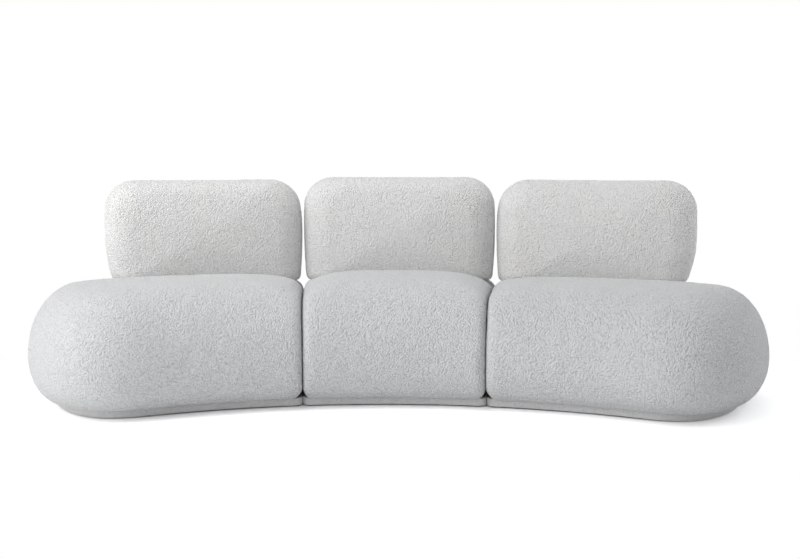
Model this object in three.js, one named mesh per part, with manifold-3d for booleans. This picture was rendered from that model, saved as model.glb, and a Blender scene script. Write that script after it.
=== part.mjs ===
// A three-seat curved sofa in three units. Lengths are in millimetres, +Z is up and the front faces -Y.
// The sofa is drawn as a straight bench, s along it and t from front to back, and bent round an
// upright axis that stands in front of it. The front swells forward towards the rounded ends.

import * as THREE from "three";
import { mergeVertices } from "three/addons/utils/BufferGeometryUtils.js";
import Module from "manifold-3d";

// Plan of the bench
const bendRadius = 3800;
const seatDepth = 976;
const centreWidth = 720;
const endStraight = 602;
const endRoundLength = 420;
const endSquareness = 2.3;
const frontSwell = 115;
const rearTuck = 33;
const seamClearance = 1;
const seamCornerRadius = 30;

// Section of the seat cushion
const seatUnderside = 32;
const bulgeHeight = 152;
const seatTop = 397;
const seatCrown = 35;
const crownSquareness = 4.2;
const rearFall = 38;
const fallLead = 235;
const topRound = 185;
const rearTopRound = 95;
const lowRound = 81;
const seamRound = 35;
const seamRoundHeight = 36;
const cushionSquareness = 2.16;

// Upholstery
const coverThickness = 8;
const hemReach = 28;
const pieceGap = 0.4;

// Section and outline of the back cushion
const backSetIn = 53;
const backThickness = 250;
const backTop = 780;
const backGap = 6;
const endBackStraight = 725;
const backTopCorner = 102;
const backLowCorner = 25;
const backTopRound = 85;
const backSideRound = 130;
const backLowRound = 16;
const backFaceCrown = 24;
const backSideBow = 10;
const backSquareness = 2.3;
const backSeatClearance = 9;

// Timber seat frame
const frameInset = 101;
const frameSeamInset = 54;
const frameWall = 18;
const frameHeight = 190;
const railThickness = 18;
const railHeight = 80;

// Woven straps over the frame
const strapWidth = 70;
const strapThickness = 2;
const centreStrapPitch = 140;
const endStrapPitch = 210;
const strapSetback = 3;

// Plinth
const plinthInset = 98;
const bandThickness = 6;
const plinthWall = 42;
const dustCoverThickness = 1.5;
const dustCoverInset = 3;
const glideHeight = 4;
const glideRadius = 18;
const glideRim = 1.2;
const glideStemRadius = 4;
const glideStemLength = 18;

// Back frame, its posts and the bar that holds them
const backFrameThickness = 34;
const backFrameMargin = 62;
const backFrameRail = 50;
const backFrameFoot = 44;
const postRadius = 11;
const postChamfer = 2;
const postEdgeMargin = 150;
const postTop = 620;
const socketDepth = 95;
const socketWall = 4.5;
const socketFloor = 5;
const barThickness = 5;
const barWidth = 50;
const barOverhang = 60;

// Hook connectors under the seams
const hookSetIn = 188;
const hookWidth = 50;
const hookMetal = 3.5;
const hookFoot = 30;
const hookRise = 19;
const hookGroundClearance = 8;
const catchMetal = 3;
const catchClearance = 0.6;

// Numbers of bays between the rails, and places of the straps in pitches from the middle of the back
const centreBays = 3;
const endBays = 4;
const backFrameBays = 3;
const centreStrapPlaces = [-1, 0, 1];
const endStrapPlaces = [-3 / 2, -1 / 2, 1 / 2, 3 / 2];

// Where the long rails and the long straps lie, as shares of the frame's half depth
const longRailShares = [-1 / 3, 1 / 3];
const longStrapShares = [-1 / 2, 0, 1 / 2];

// Numbers of facets
const cornerSteps = 3;
const edgeSteps = 4;
const centreEdgeSteps = 6;
const seamSteps = 4;
const backSideSteps = 2;
const endSteps = 10;
const roundSteps = 12;
const glideSteps = 10;
const slabSteps = 4;

// Turns of the cushions' rings in degrees, from underside or front to crest or rear
const crest = 90;
const skinTurns = [-90, -60, -30, 0, 30, 55, 75, crest];
const liningTurns = [-90, -30, 0, 30, 75, crest];
const backSkinTurns = [-90, -60, -30, 0, 30, 60, 90];
const backLiningTurns = [-90, -30, 30, 90];
const seatCrownShares = [0.88, 0.64, 0.4];
const liningCrownShares = [0.64, 0.4];
const backCrownShares = [0.6];

// Overrun of every cut, and the distance within which two corners are one
const overrun = 5;
const cornerTolerance = 1e-4;

const wasm = await Module();
wasm.setup();

const centreHalf = centreWidth / 2;
const endStart = centreHalf + endStraight;
const endReach = endStart + endRoundLength;
const halfDepth = seatDepth / 2;
const backFront = halfDepth - backSetIn - backThickness;
const postDepth = backFront + backThickness / 2;
const frameHalfDepth = halfDepth - frameInset;
const hookOffset = halfDepth - hookSetIn;
const frameBottom = seatUnderside + coverThickness + pieceGap;
const frameTop = frameBottom + frameHeight;
const plinthBottom = glideHeight + dustCoverThickness + 2 * pieceGap;
const plinthTop = seatUnderside - pieceGap;

// Maps a place on the straight bench to the bent one.
function bench(s, t, z) {
  const growth = (s / endStart) ** 2;
  const frontShare = Math.max(1 / 2 - t / seatDepth, 0);
  const rearShare = Math.max(1 / 2 + t / seatDepth, 0);
  const moved = t - growth * (frontSwell * frontShare + rearTuck * rearShare);
  const angle = s / bendRadius;
  const reach = bendRadius + moved;
  return new THREE.Vector3(reach * Math.sin(angle), reach * Math.cos(angle) - bendRadius, z);
}

// Superellipse powers of a sine and a cosine
function power(value, squareness) {
  return Math.sign(value) * Math.abs(value) ** (2 / squareness);
}

// A quarter turn of a rounded corner: points from angle start, anticlockwise.
function corner(centreS, centreT, radiusS, radiusT, startQuarter) {
  const points = [];
  for (let i = 0; i <= cornerSteps; i++) {
    const angle = ((startQuarter + i / cornerSteps) * Math.PI) / 2;
    points.push([centreS + radiusS * Math.cos(angle), centreT + radiusT * Math.sin(angle)]);
  }
  return points;
}

// Points strictly between two others
function between(from, to, steps) {
  const points = [];
  for (let i = 1; i < steps; i++) {
    const share = i / steps;
    points.push([from[0] + (to[0] - from[0]) * share, from[1] + (to[1] - from[1]) * share]);
  }
  return points;
}

// Outline of a unit on the straight bench, anticlockwise, drawn in from its front, rear, end and seam
function unitOutline(side, inset) {
  const front = inset.front - halfDepth;
  const rear = halfDepth - inset.rear;
  const radius = seamCornerRadius;
  if (side === 0) {
    const s = centreHalf - inset.seam;
    const corners = [
      corner(-s + radius, front + radius, radius, radius, 2),
      corner(s - radius, front + radius, radius, radius, 3),
      corner(s - radius, rear - radius, radius, radius, 0),
      corner(-s + radius, rear - radius, radius, radius, 1),
    ];
    const steps = [centreEdgeSteps, seamSteps, centreEdgeSteps, seamSteps];
    return corners.flatMap((points, i) => [
      ...points,
      ...between(points.at(-1), corners[(i + 1) % 4][0], steps[i]),
    ]);
  }
  const s = centreHalf + inset.seam;
  const frontCorner = corner(s + radius, front + radius, radius, radius, 2);
  const rearCorner = corner(s + radius, rear - radius, radius, radius, 1);
  const end = [];
  for (let i = 0; i <= endSteps; i++) {
    const angle = (i / endSteps - 1 / 2) * Math.PI;
    const along = (endRoundLength - inset.end) * power(Math.max(Math.cos(angle), 0), endSquareness);
    const across = power(Math.sin(angle), endSquareness);
    end.push([endStart + along, across < 0 ? -across * front : across * rear]);
  }
  const outline = [
    ...frontCorner,
    ...between(frontCorner.at(-1), end[0], edgeSteps),
    ...end,
    ...between(end.at(-1), rearCorner[0], edgeSteps),
    ...rearCorner,
    ...between(rearCorner.at(-1), frontCorner[0], seamSteps),
  ];
  return side > 0 ? outline : outline.map(([along, across]) => [-along, across]).reverse();
}

// A closed body through rings of points, with a fan to a point at each end
function stack(rings, firstApex, lastApex) {
  const count = rings[0].length;
  const points = [...rings.flat(), firstApex, lastApex];
  const index = [];
  for (let k = 0; k + 1 < rings.length; k++)
    for (let i = 0; i < count; i++) {
      const next = (i + 1) % count;
      const [a, b] = [k * count + i, k * count + next];
      index.push(a, b, b + count, a, b + count, a + count);
    }
  const top = (rings.length - 1) * count;
  for (let i = 0; i < count; i++) {
    const next = (i + 1) % count;
    index.push(points.length - 2, next, i, points.length - 1, top + i, top + next);
  }
  return new THREE.BufferGeometry().setFromPoints(points).setIndex(index);
}

// A closed mesh as a solid that can be cut and joined
function solid(geometry) {
  geometry.deleteAttribute("normal");
  geometry.deleteAttribute("uv");
  const merged = mergeVertices(geometry, cornerTolerance);
  return new wasm.Manifold(
    new wasm.Mesh({
      numProp: 3,
      vertProperties: merged.attributes.position.array,
      triVerts: new Uint32Array(merged.index.array),
    }),
  );
}

function geometryOf(body) {
  const mesh = body.getMesh();
  const geometry = new THREE.BufferGeometry();
  geometry.setAttribute("position", new THREE.BufferAttribute(mesh.vertProperties, mesh.numProp));
  geometry.setIndex(new THREE.BufferAttribute(mesh.triVerts, 1));
  geometry.computeVertexNormals();
  return geometry;
}

// A flat plate of the bench: an outline of [s, t] points between two heights
function plate(outline, low, high) {
  const places = outline.map(([s, t]) => bench(s, t, 0));
  const shape = new THREE.Shape(places.map((place) => new THREE.Vector2(place.x, place.y)));
  const geometry = new THREE.ExtrudeGeometry(shape, { depth: high - low, bevelEnabled: false });
  return solid(geometry.translate(0, 0, low));
}

// A bent box between two places along the bench, two across it and two heights
function slab(fromS, toS, fromT, toT, low, high, steps = slabSteps) {
  const [startS, endS] = [Math.min(fromS, toS), Math.max(fromS, toS)];
  const outline = [
    [startS, fromT],
    ...between([startS, fromT], [endS, fromT], steps),
    [endS, fromT],
    [endS, toT],
    ...between([endS, toT], [startS, toT], steps),
    [startS, toT],
  ];
  return plate(outline, low, high);
}

// An upright round bar at a place on the bench
function upright(s, t, low, high, radius, steps = roundSteps) {
  const place = bench(s, t, (low + high) / 2);
  const bar = new THREE.CylinderGeometry(radius, radius, high - low, steps);
  return solid(bar.rotateX(Math.PI / 2).translate(place.x, place.y, place.z));
}

// A turned piece that stands upright at a place on the bench, from its half section
function turned(s, t, section, steps = roundSteps) {
  const place = bench(s, t, 0);
  const profile = section.map(([radius, height]) => new THREE.Vector2(radius, height));
  const lathe = new THREE.LatheGeometry(profile, steps);
  return solid(lathe.rotateX(Math.PI / 2).translate(place.x, place.y, place.z));
}

const sum = (first, ...rest) => rest.reduce((body, other) => body.add(other), first);
const cut = (first, ...rest) => rest.reduce((body, other) => body.subtract(other), first);

// Drawn-in distances and height of the seat's skin at a turn from its underside, -90, to its top, 90,
// measured a depth below the skin
function seatLevel(degrees, depth) {
  const turn = THREE.MathUtils.degToRad(degrees);
  const drawn = 1 - power(Math.max(Math.cos(turn), 0), cushionSquareness);
  const rise = Math.abs(power(Math.sin(turn), cushionSquareness));
  const below = degrees < 0;
  const sunk = depth * Math.cos(turn);
  const reach = below ? seatUnderside - bulgeHeight : seatTop - bulgeHeight;
  const toEnd = Math.abs(reach) * (1 - rise);
  const curled = Math.max(1 - toEnd / seamRoundHeight, 0);
  return {
    rise,
    front: sunk + drawn * (below ? lowRound : topRound),
    rear: sunk + drawn * (below ? lowRound : rearTopRound),
    end: sunk + drawn * (below ? lowRound : topRound),
    seam: seamClearance + sunk + seamRound * (1 - Math.sqrt(1 - curled ** 2)),
    z: bulgeHeight + rise * reach - depth * Math.sin(turn),
  };
}

function middleOf(outline) {
  const total = outline.reduce((sofar, [s, t]) => [sofar[0] + s, sofar[1] + t], [0, 0]);
  return [total[0] / outline.length, total[1] / outline.length];
}

// Where a unit's middle and widest outline lie on the straight bench
const seatMiddles = new Map();
function seatMiddle(side) {
  if (!seatMiddles.has(side)) {
    const middle = middleOf(unitOutline(side, seatLevel(crest, 0)));
    const edge = unitOutline(side, seatLevel(0, 0)).map(([s, t]) => [s - middle[0], t - middle[1]]);
    seatMiddles.set(side, { middle, edge });
  }
  return seatMiddles.get(side);
}

// How far out a place lies from the middle of its seat, 0, to the widest outline, 1
function shareOut(side, s, t) {
  const { middle, edge } = seatMiddle(side);
  const [outS, outT] = [s - middle[0], t - middle[1]];
  const shares = edge.map(([fromS, fromT], i) => {
    const [toS, toT] = edge[(i + 1) % edge.length];
    const [alongS, alongT] = [toS - fromS, toT - fromT];
    return (outS * alongT - outT * alongS) / (fromS * alongT - fromT * alongS);
  });
  return Math.max(...shares);
}

// How far the top stands over its edge: a crown over the whole seat, less the fall towards the back
// cushion, which grows with the rise of a ring
function seatRise(side, s, t, rise = 1) {
  const crown = seatCrown * (1 - Math.min(shareOut(side, s, t), 1) ** crownSquareness);
  const fallen = THREE.MathUtils.clamp(1 + (t - backFront) / fallLead, 0, 1);
  return crown - rearFall * rise * fallen ** 2;
}

// The seat's pillow form a depth below its skin; a neck can open it downwards.
function seatPillow(side, depth, turns, crowns, neck) {
  const rings = [];
  if (neck)
    for (const z of [seatUnderside - overrun, seatUnderside + depth])
      rings.push(unitOutline(side, neck).map(([s, t]) => bench(s, t, z)));
  for (const degrees of turns) {
    const level = seatLevel(degrees, depth);
    const crowned = (s, t) => level.z + (degrees > 0 ? seatRise(side, s, t, level.rise) : 0);
    rings.push(unitOutline(side, level).map(([s, t]) => bench(s, t, crowned(s, t))));
  }
  const rim = seatLevel(crest, depth);
  const [middleS, middleT] = seatMiddle(side).middle;
  for (const share of crowns)
    rings.push(
      unitOutline(side, rim).map(([rimS, rimT]) => {
        const [s, t] = [middleS + (rimS - middleS) * share, middleT + (rimT - middleT) * share];
        return bench(s, t, rim.z + seatRise(side, s, t));
      }),
    );
  const low = bench(middleS, middleT, rings[0][0].z);
  const high = bench(middleS, middleT, rim.z + seatRise(side, middleS, middleT));
  return solid(stack(rings, low, high));
}

// Height of the seat's skin at a place under the back cushions, its edges at the seams left square
function seatHeight(side, s, t) {
  const share = THREE.MathUtils.clamp(1 - (halfDepth - t) / rearTopRound, 0, 1);
  const rise = (1 - share ** cushionSquareness) ** (1 / cushionSquareness);
  return bulgeHeight + (seatTop - bulgeHeight) * rise + seatRise(side, s, t, rise);
}

// Where each back cushion lies along the bench
function backSpan(side) {
  if (side === 0) return [-centreHalf + backGap / 2, centreHalf - backGap / 2];
  const inner = centreHalf + backGap / 2;
  const outer = centreHalf + endBackStraight;
  return side > 0 ? [inner, outer] : [-outer, -inner];
}

const postPlaces = (side) => {
  const [from, to] = backSpan(side);
  return [from + postEdgeMargin, to - postEdgeMargin];
};

// One ring of the back cushion: its front elevation at a depth, drawn in at sides, top and foot
function backRing(side, t, drawn, share = 1) {
  const [from, to] = backSpan(side);
  const middle = (from + to) / 2;
  const half = (to - from) / 2 - drawn.side;
  const high = backTop - drawn.top;
  const low = seatTop + drawn.low;
  const ring = [
    corner(-half + backLowCorner, low + backLowCorner, backLowCorner, backLowCorner, 2),
    corner(half - backLowCorner, low + backLowCorner, backLowCorner, backLowCorner, 3),
    corner(half - backTopCorner, high - backTopCorner, backTopCorner, backTopCorner, 0),
    corner(-half + backTopCorner, high - backTopCorner, backTopCorner, backTopCorner, 1),
  ];
  const steps = [edgeSteps, backSideSteps, edgeSteps, backSideSteps];
  const outline = ring.flatMap((points, i) => [
    ...points,
    ...between(points.at(-1), ring[(i + 1) % 4][0], steps[i]),
  ]);
  const centreZ = (low + high) / 2;
  return outline
    .map(([s, z]) => {
      const upShare = (z - low) / (high - low);
      const bowed = s * (1 - (backSideBow / half) * (1 - 2 * upShare) ** 2);
      const along = middle + bowed * share;
      const rest = seatHeight(side, along, t) + backSeatClearance - seatTop;
      const up = centreZ + (z - centreZ) * share;
      return bench(along, t, up + rest * (1 - upShare) ** 2);
    })
    .reverse();
}

// The back cushion's pillow form a depth below its skin
function backPillow(side, depth, turns, crowns) {
  const half = backThickness / 2 - backFaceCrown;
  const drawnIn = (share) => ({
    side: depth + share * backSideRound,
    top: depth + share * backTopRound,
    low: depth + share * backLowRound,
  });
  const rings = turns.map((degrees) => {
    const turn = THREE.MathUtils.degToRad(degrees);
    const drawn = drawnIn(1 - power(Math.max(Math.cos(turn), 0), backSquareness));
    return backRing(side, postDepth + (half - depth) * power(Math.sin(turn), backSquareness), drawn);
  });
  const face = (way, share) =>
    postDepth + way * (half - depth + (backFaceCrown * (1 + Math.cos(Math.PI * share))) / 2);
  const crowned = (way) => crowns.map((share) => backRing(side, face(way, share), drawnIn(1), share));
  const all = [...crowned(-1).reverse(), ...rings, ...crowned(1)];
  const [from, to] = backSpan(side);
  const heart = (way) => bench((from + to) / 2, face(way, 0), (seatTop + backTop) / 2);
  return solid(stack(all, heart(-1), heart(1)));
}

const foamDepth = coverThickness + pieceGap;

const inset = (free, seam) => ({ front: free, rear: free, end: free, seam: seam + seamClearance });

function postHoles(side, low, high, clearance) {
  return postPlaces(side).map((s) => upright(s, postDepth, low, high, postRadius + clearance));
}

// Bouclé cover of a seat, open under the frame, with two holes for the back's posts
function seatCover(side) {
  const skin = seatPillow(side, 0, skinTurns, seatCrownShares);
  const neck = inset(plinthInset + hemReach, seamRound + hemReach);
  const lining = seatPillow(side, coverThickness, liningTurns, liningCrownShares, neck);
  return cut(skin, lining, ...postHoles(side, bulgeHeight, backTop, 2 * pieceGap));
}

// Seat foam, hollow underneath for the frame and the straps
function seatFoam(side) {
  const block = seatPillow(side, foamDepth, liningTurns, liningCrownShares);
  const pocketTop = frameTop + strapThickness + 2 * pieceGap;
  const pocketOutline = unitOutline(side, inset(frameInset - pieceGap, frameSeamInset - pieceGap));
  const pocket = plate(pocketOutline, seatUnderside, pocketTop);
  return cut(block, pocket, ...postHoles(side, pocketTop - overrun, backTop, 2 * pieceGap));
}

// Places of the rails that run from front to rear
function crossRailPlaces(side) {
  const start = side === 0 ? -centreHalf : centreHalf;
  const end = side === 0 ? centreHalf : endReach - frameInset;
  const bays = side === 0 ? centreBays : endBays;
  const places = [];
  for (let i = 1; i < bays; i++) places.push(start + ((end - start) * i) / bays);
  return side < 0 ? places.map((s) => -s) : places;
}

// Rails that run from front to rear
function crossRails(side, width, low, high) {
  return crossRailPlaces(side).map((s) =>
    slab(s - width / 2, s + width / 2, -halfDepth, halfDepth, low, high, 1),
  );
}

// Rails that run along the bench
function longRails(side, width, low, high) {
  const [from, to] = side === 0 ? [-centreHalf, centreHalf] : [side * centreHalf, side * endReach];
  const half = width / 2;
  return longRailShares.map((share) => {
    const t = frameHalfDepth * share;
    return slab(from, to, t - half, t + half, low, high);
  });
}

const trimmed = (pieces, outline, low, high) =>
  sum(...pieces).intersect(plate(outline, low - overrun, high + overrun));

// The flat bar and two sleeves that take the back's posts
function mountBar(side, clearance) {
  const places = postPlaces(side);
  const [from, to] = [places[0] - barOverhang - clearance, places[1] + barOverhang + clearance];
  const half = barWidth / 2 + clearance;
  const low = frameTop - barThickness - clearance;
  const high = clearance > 0 ? frameTop + overrun : frameTop;
  return slab(from, to, postDepth - half, postDepth + half, low, high);
}

function backMountBar(side) {
  const socketBottom = frameTop - socketDepth;
  const sleeves = postPlaces(side).map((s) =>
    upright(s, postDepth, socketBottom, frameTop - barThickness / 2, postRadius + pieceGap + socketWall),
  );
  const bores = postHoles(side, socketBottom + socketFloor, frameTop + overrun, pieceGap);
  return cut(sum(mountBar(side, 0), ...sleeves), ...bores);
}

// Timber box of a seat, its rails rebated for the mount bar
function seatFrame(side) {
  const outer = unitOutline(side, inset(frameInset, frameSeamInset));
  const inner = unitOutline(side, inset(frameInset + frameWall, frameSeamInset + frameWall));
  const wall = cut(
    plate(outer, frameBottom, frameTop),
    plate(inner, frameBottom - overrun, frameTop + overrun),
  );
  const railLow = frameTop - railHeight;
  const railSet = [
    ...crossRails(side, railThickness, railLow, frameTop),
    ...longRails(side, railThickness, railLow, frameTop),
  ];
  return cut(sum(wall, trimmed(railSet, outer, railLow, frameTop)), mountBar(side, pieceGap));
}

// One net of elastic straps over a frame
function seatWebbing(side) {
  const outline = unitOutline(side, inset(frameInset + strapSetback, frameSeamInset + strapSetback));
  const low = frameTop + pieceGap;
  const high = low + strapThickness;
  const [from, to] = side === 0 ? [-centreHalf, centreHalf] : [centreHalf, endReach];
  const sign = side < 0 ? -1 : 1;
  const [backFrom, backTo] = backSpan(side);
  const middle = (backFrom + backTo) / 2;
  const strapPlaces = side === 0 ? centreStrapPlaces : endStrapPlaces;
  const pitch = side === 0 ? centreStrapPitch : endStrapPitch;
  const half = strapWidth / 2;
  const long = longStrapShares.map((share) => {
    const t = frameHalfDepth * share;
    return slab(sign * from, sign * to, t - half, t + half, low, high);
  });
  const cross = strapPlaces.map((place) => {
    const s = middle + place * pitch;
    return slab(s - half, s + half, -halfDepth, halfDepth, low, high, 1);
  });
  const net = trimmed([...long, ...cross], outline, low, high);
  return cut(net, ...postHoles(side, low - overrun, high + overrun, 2 * pieceGap));
}

// Where the hooks cross a seam: the seams of a unit, each with the way to the outer unit
const seamsOf = (side) => (side === 0 ? [-1, 1] : [side]);
const hookOffsets = { front: -hookOffset, rear: hookOffset };
const hookLow = hookGroundClearance;
const hookHigh = hookLow + hookRise;
const catchLip = seamClearance + catchClearance;
const hookInner = catchLip + catchMetal + catchClearance;

// A piece at a seam, from two distances beyond the seam towards the outer unit
function atSeam(way, near, far, t, width, low, high) {
  const from = way * (centreHalf + near);
  const to = way * (centreHalf + far);
  return slab(from, to, t - width / 2, t + width / 2, low, high, 1);
}

// Steel hook of the centre unit: a foot under its plinth that crosses the seam and turns up
function seamHook(way, t) {
  const foot = atSeam(way, -hookFoot, hookInner + hookMetal, t, hookWidth, hookLow, hookLow + hookMetal);
  const tongue = atSeam(way, hookInner, hookInner + hookMetal, t, hookWidth, hookLow, hookHigh);
  return sum(foot, tongue);
}

// Steel catch of an end unit: an upturned channel that drops over the hook's tongue
function seamCatch(way, t) {
  const outer = hookInner + hookMetal + catchClearance;
  const top = hookHigh + catchClearance;
  const width = hookWidth + 2 * catchMetal;
  const lipLow = hookLow + hookMetal + catchClearance;
  const lip = atSeam(way, catchLip, catchLip + catchMetal, t, width, lipLow, top + catchMetal);
  const crown = atSeam(way, catchLip, outer + catchMetal, t, width, top, top + catchMetal);
  const leg = atSeam(way, outer, outer + catchMetal, t, width, lipLow, top + catchMetal);
  return sum(lip, crown, leg);
}

// Room for the hooks in the centre unit's plinth and for the catches in an end unit's
function hookNotches(side) {
  const width = hookWidth + 2 * catchMetal + 2 * catchClearance;
  const below = -overrun;
  return seamsOf(side).flatMap((way) =>
    Object.values(hookOffsets).map((t) => {
      if (side === 0) {
        const high = hookLow + hookMetal + pieceGap;
        return atSeam(way, -hookFoot - catchClearance, 0, t, width, below, high);
      }
      const far = hookInner + hookMetal + 2 * catchClearance + catchMetal;
      const high = hookHigh + catchClearance + catchMetal + pieceGap;
      return atSeam(way, -seamClearance, far, t, width, below, high);
    }),
  );
}

const bandInset = plinthInset + bandThickness + pieceGap;
const bandSeamInset = bandThickness + pieceGap;

// Places of the glides, in the middle of the plinth's wall
function glidePlaces(side) {
  const free = bandInset + plinthWall / 2;
  const depth = halfDepth - free;
  const seam = bandSeamInset + plinthWall / 2 + seamClearance;
  const start = side === 0 ? -centreHalf + seam : centreHalf + seam;
  const end = side === 0 ? centreHalf - seam : endStart;
  const places = {
    front_inner: [start, -depth],
    front_outer: [end, -depth],
    rear_inner: [start, depth],
    rear_outer: [end, depth],
  };
  if (side === 0)
    return {
      front_left: places.front_inner,
      front_right: places.front_outer,
      rear_left: places.rear_inner,
      rear_right: places.rear_outer,
    };
  for (const place of Object.values(places)) place[0] *= side;
  return places;
}

function stemHoles(side, low, high) {
  const radius = glideStemRadius + pieceGap;
  return Object.values(glidePlaces(side)).map(([s, t]) => upright(s, t, low, high, radius, glideSteps));
}

// Plinth frame of battens, bored for the glides' stems
function plinthFrame(side) {
  const outer = unitOutline(side, inset(bandInset, bandSeamInset));
  const inner = unitOutline(side, inset(bandInset + plinthWall, bandSeamInset + plinthWall));
  const wall = cut(
    plate(outer, plinthBottom, plinthTop),
    plate(inner, plinthBottom - overrun, plinthTop + overrun),
  );
  const railSet = crossRails(side, plinthWall, plinthBottom, plinthTop);
  const body = sum(wall, trimmed(railSet, outer, plinthBottom, plinthTop));
  const stems = stemHoles(side, plinthBottom - overrun, glideHeight + glideStemLength + pieceGap);
  return cut(body, ...hookNotches(side), ...stems);
}

// Bouclé band round a plinth
function plinthCover(side) {
  const low = glideHeight + pieceGap;
  const outer = unitOutline(side, inset(plinthInset, 0));
  const inner = unitOutline(side, inset(plinthInset + bandThickness, bandThickness));
  const band = cut(plate(outer, low, plinthTop), plate(inner, low - overrun, plinthTop + overrun));
  return cut(band, ...hookNotches(side));
}

// Dark non-woven sheet under a plinth
function dustCover(side) {
  const low = glideHeight + pieceGap;
  const sheet = plate(
    unitOutline(side, inset(bandInset + dustCoverInset, bandSeamInset + dustCoverInset)),
    low,
    low + dustCoverThickness,
  );
  return cut(sheet, ...hookNotches(side), ...stemHoles(side, low - overrun, low + overrun));
}

// Nail-on glide: a dished foot and its stem
function glide(s, t) {
  const section = [
    [0, 0],
    [glideRadius - glideRim, 0],
    [glideRadius, glideRim],
    [glideRadius, glideHeight],
    [glideStemRadius, glideHeight],
    [glideStemRadius, glideHeight + glideStemLength],
    [0, glideHeight + glideStemLength],
  ];
  return turned(s, t, section, glideSteps);
}

// Where the back frame lies along the bench and in height
function backFrameBounds(side) {
  const [from, to] = backSpan(side);
  return {
    from: from + backFrameMargin,
    to: to - backFrameMargin,
    low: seatTop + seatCrown - rearFall + backFrameFoot,
    high: backTop - backFrameMargin,
  };
}

function backFrameBlock(side, clearance) {
  const { from, to, low, high } = backFrameBounds(side);
  const half = backFrameThickness / 2 + clearance;
  return slab(
    from - clearance,
    to + clearance,
    postDepth - half,
    postDepth + half,
    low - clearance,
    high + clearance,
  );
}

// Bent timber frame with a window in each bay, bored for the posts
function backFrame(side) {
  const { from, to, low, high } = backFrameBounds(side);
  const step = (to - from - backFrameRail) / backFrameBays;
  const windows = [];
  for (let i = 0; i < backFrameBays; i++) {
    const start = from + backFrameRail + i * step;
    const end = start + step - backFrameRail;
    const depth = backFrameThickness / 2 + overrun;
    windows.push(
      slab(start, end, postDepth - depth, postDepth + depth, low + backFrameRail, high - backFrameRail, 1),
    );
  }
  const bores = postHoles(side, low - overrun, postTop + pieceGap, pieceGap);
  return cut(backFrameBlock(side, 0), ...windows, ...bores);
}

function backCover(side) {
  const skin = backPillow(side, 0, backSkinTurns, backCrownShares);
  const lining = backPillow(side, coverThickness, backLiningTurns, []);
  return cut(skin, lining, ...postHoles(side, frameTop, postTop, 2 * pieceGap));
}

function backFoam(side) {
  const block = backPillow(side, foamDepth, backLiningTurns, []);
  return cut(block, backFrameBlock(side, pieceGap), ...postHoles(side, frameTop, postTop, pieceGap));
}

// Steel post with chamfered ends
function backPost(s) {
  const low = frameTop - socketDepth + socketFloor + pieceGap;
  return turned(s, postDepth, [
    [0, low],
    [postRadius - postChamfer, low],
    [postRadius, low + postChamfer],
    [postRadius, postTop - postChamfer],
    [postRadius - postChamfer, postTop],
    [0, postTop],
  ]);
}

// Finishes
const finish = (name, color, roughness, metalness = 0) =>
  new THREE.MeshStandardMaterial({ name, color, roughness, metalness });
const finishes = {
  boucle: () => finish("white_boucle", 0xe9e8e5, 0.95),
  foam: () => finish("foam", 0xe8dfc4, 0.95),
  timber: () => finish("plywood", 0xc9a877, 0.65),
  webbing: () => finish("webbing", 0x5a4a3c, 0.9),
  steel: () => finish("zinc_steel", 0xa9adb0, 0.4, 0.9),
  dust: () => finish("dust_cover", 0x2b2b2c, 0.95),
  plastic: () => finish("glide_plastic", 0x333231, 0.6),
};

function addPiece(group, name, body, material) {
  const mesh = new THREE.Mesh(geometryOf(body), material());
  mesh.name = name;
  group.add(mesh);
}

function seatUnit(side, name) {
  const unit = new THREE.Group();
  addPiece(unit, `${name}_seat_cover`, seatCover(side), finishes.boucle);
  addPiece(unit, `${name}_seat_foam`, seatFoam(side), finishes.foam);
  addPiece(unit, `${name}_seat_frame`, seatFrame(side), finishes.timber);
  addPiece(unit, `${name}_seat_webbing`, seatWebbing(side), finishes.webbing);
  addPiece(unit, `${name}_back_mount_bar`, backMountBar(side), finishes.steel);
  addPiece(unit, `${name}_plinth_frame`, plinthFrame(side), finishes.timber);
  addPiece(unit, `${name}_plinth_cover`, plinthCover(side), finishes.boucle);
  addPiece(unit, `${name}_dust_cover`, dustCover(side), finishes.dust);
  for (const [place, [s, t]] of Object.entries(glidePlaces(side)))
    addPiece(unit, `${name}_${place}_glide`, glide(s, t), finishes.plastic);
  return unit;
}

function backUnit(side, name) {
  const unit = new THREE.Group();
  addPiece(unit, `${name}_back_cover`, backCover(side), finishes.boucle);
  addPiece(unit, `${name}_back_foam`, backFoam(side), finishes.foam);
  addPiece(unit, `${name}_back_frame`, backFrame(side), finishes.timber);
  for (const [i, s] of postPlaces(side).entries())
    addPiece(unit, `${name}_back_${i ? "right" : "left"}_post`, backPost(s), finishes.steel);
  return unit;
}

function connectors(way, name) {
  const unit = new THREE.Group();
  for (const [place, t] of Object.entries(hookOffsets)) {
    addPiece(unit, `${name}_seam_${place}_hook`, seamHook(way, t), finishes.steel);
    addPiece(unit, `${name}_seam_${place}_catch`, seamCatch(way, t), finishes.steel);
  }
  return unit;
}

const bent = new THREE.Group();
for (const [side, name] of [
  [-1, "left"],
  [0, "centre"],
  [1, "right"],
]) {
  bent.add(seatUnit(side, name), backUnit(side, name));
  if (side !== 0) bent.add(connectors(side, name));
}

// The origin is on the floor under the middle of the whole sofa.
const bounds = new THREE.Box3().setFromObject(bent);
const sofa = new THREE.Group();
sofa.name = "curved_sofa";
bent.position.y = -(bounds.min.y + bounds.max.y) / 2;
sofa.add(bent);

export default sofa;
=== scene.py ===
"""Looks of the curved sofa: bouclé cushions and plinth bands, timber, straps, steel, studio and camera.

Lengths are in metres. As in the solids, the sofa is drawn as a straight bench, s along it and t from
front to back, and bent round an upright axis in front of it.
"""

import math

import bpy
import numpy as np
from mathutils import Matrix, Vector
from mathutils.bvhtree import BVHTree


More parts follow.
